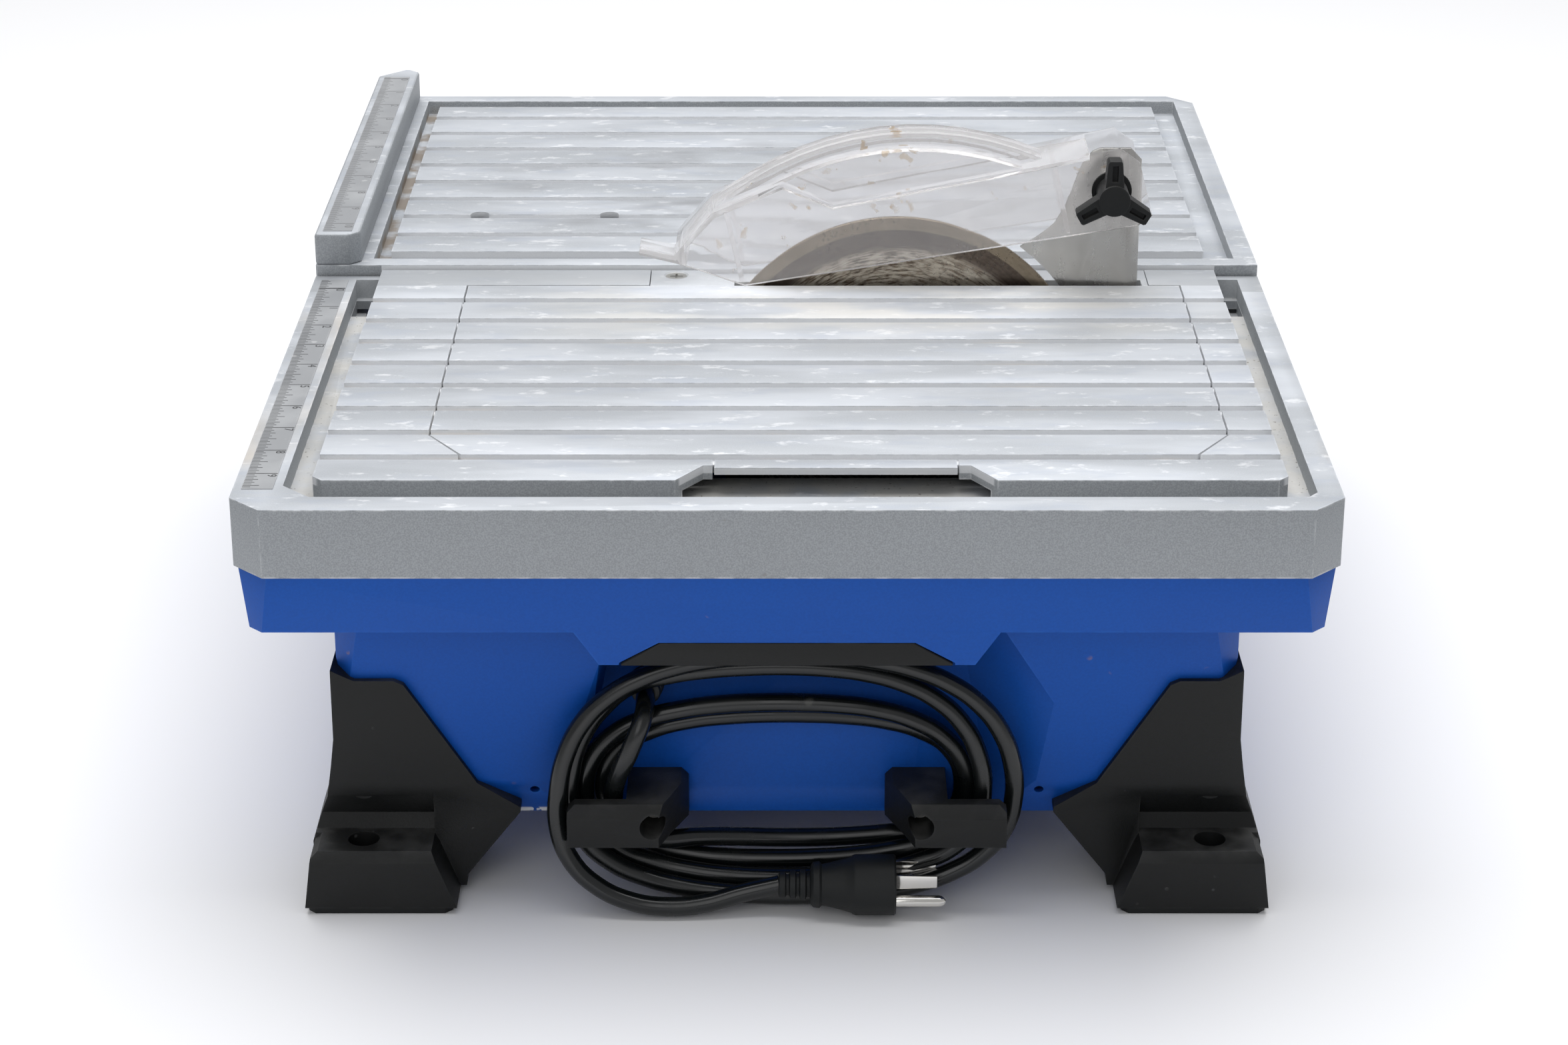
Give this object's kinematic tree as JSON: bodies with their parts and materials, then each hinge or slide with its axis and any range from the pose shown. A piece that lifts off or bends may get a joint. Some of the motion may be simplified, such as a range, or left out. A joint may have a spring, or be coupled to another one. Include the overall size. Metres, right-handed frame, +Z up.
{
  "type": "tabletop wet trim saw",
  "caption": "Tabletop wet trim saw with ribbed fixed and sliding tables, rip fence, clear swing-up blade guard, riving knife, removable access plate and legs.",
  "frame": {"origin": "on the floor under the middle of the saw", "axes": "+X along the cut to the right, +Y from the fixed table towards the sliding table, +Z up"},
  "size_m": [0.438, 0.575, 0.2663],
  "materials": {
    "blue_plastic": "moulded, satin",
    "painted_casting": "silver metallic paint on die-cast aluminium, worn",
    "ruler_label": "printed label, satin",
    "zinc_steel": "zinc plated",
    "black_plastic": "fine texture",
    "rubber": "matt",
    "motor_paint": "black enamel",
    "motor_casting": "as cast",
    "stator_windings": "varnished laminations",
    "ground_steel": "ground",
    "rusty_blade": "brown surface rust",
    "stainless": "brushed",
    "bronze": "sintered",
    "clear_guard": "clear polycarbonate, scuffed",
    "rocker_red": "gloss",
    "cord_jacket": "smooth PVC jacket",
    "plug_metal": "nickel plated"
  },
  "bodies": {
    "base": {"base_tub": "blue_plastic", "main_table": "painted_casting", "table_ruler": "ruler_label", "throat_plate": "painted_casting", "throat_screw": "zinc_steel", "table_screws": "zinc_steel", "rear_cover": "blue_plastic", "rear_cover_screws": "zinc_steel", "leg_front_left": "black_plastic", "leg_front_right": "black_plastic", "leg_rear_left": "black_plastic", "leg_rear_right": "black_plastic", "foot_pads": "rubber", "leg_screws": "zinc_steel", "carry_grip": "black_plastic", "cord_hook_left": "black_plastic", "cord_hook_right": "black_plastic", "cord_hook_screws": "zinc_steel", "motor_housing": "motor_paint", "motor_front_bell": "motor_casting", "motor_rear_bell": "motor_casting", "motor_stator": "stator_windings", "motor_bearings": "ground_steel", "motor_bracket": "zinc_steel", "motor_screws": "zinc_steel", "run_capacitor": "black_plastic", "shaft_seal": "rubber", "riving_knife": "stainless", "knife_bracket": "zinc_steel", "knife_screws": "zinc_steel", "rod_blocks": "black_plastic", "rod_bushings": "bronze", "switch_box": "black_plastic", "cord_gland": "rubber", "cord_coil": "cord_jacket", "cord_tube": "cord_jacket", "plug_body": "cord_jacket", "plug_pins": "plug_metal"},
    "arbor": {"arbor_shaft": "ground_steel", "motor_rotor": "ground_steel", "cooling_fan": "black_plastic", "inner_flange": "ground_steel", "saw_blade": "rusty_blade", "outer_flange": "ground_steel", "arbor_nut": "ground_steel"},
    "sliding_table": {"sliding_table": "painted_casting", "slide_rods": "ground_steel", "rod_screws": "zinc_steel", "rip_fence": "painted_casting", "fence_ruler": "ruler_label", "fence_screws": "zinc_steel"},
    "guard": {"blade_guard": "clear_guard", "guard_pivot_bolt": "zinc_steel", "knob_washer": "black_plastic"},
    "knob": {"guard_knob": "black_plastic"},
    "access_plate": {"access_plate": "painted_casting"},
    "rocker": {"rocker_switch": "rocker_red"},
    "drain_plug": {"drain_plug": "rubber"}
  },
  "joints": [
    {"name": "arbor_spin", "type": "hinge", "parent": "base", "child": "arbor", "pos_m": [0.051, 0, 0.1364], "axis": [0, 1, 0], "continuous": true},
    {"name": "table_slide", "type": "slide", "parent": "base", "child": "sliding_table", "axis": [1, 0, 0], "range_m": [-0.15, 0.15]},
    {"name": "guard_lift", "type": "hinge", "parent": "base", "child": "guard", "pos_m": [0.146, -0.0212, 0.243], "axis": [0, 1, 0], "range_deg": [0, 60]},
    {"name": "knob_turn", "type": "hinge", "parent": "guard", "child": "knob", "pos_m": [0.146, -0.048, 0.243], "axis": [0, 1, 0], "range_deg": [0, 720]},
    {"name": "access_plate_tilt", "type": "hinge", "parent": "base", "child": "access_plate", "pos_m": [0.017, -0.0254, 0.193], "axis": [-1, 0, 0], "range_deg": [0, 14]},
    {"name": "rocker_press", "type": "hinge", "parent": "base", "child": "rocker", "pos_m": [-0.201, -0.032, 0.11], "axis": [0, 1, 0], "range_deg": [0, 16]},
    {"name": "drain_plug_pull", "type": "slide", "parent": "base", "child": "drain_plug", "axis": [0, 0, -1], "range_m": [0, 0.02]}
  ]
}
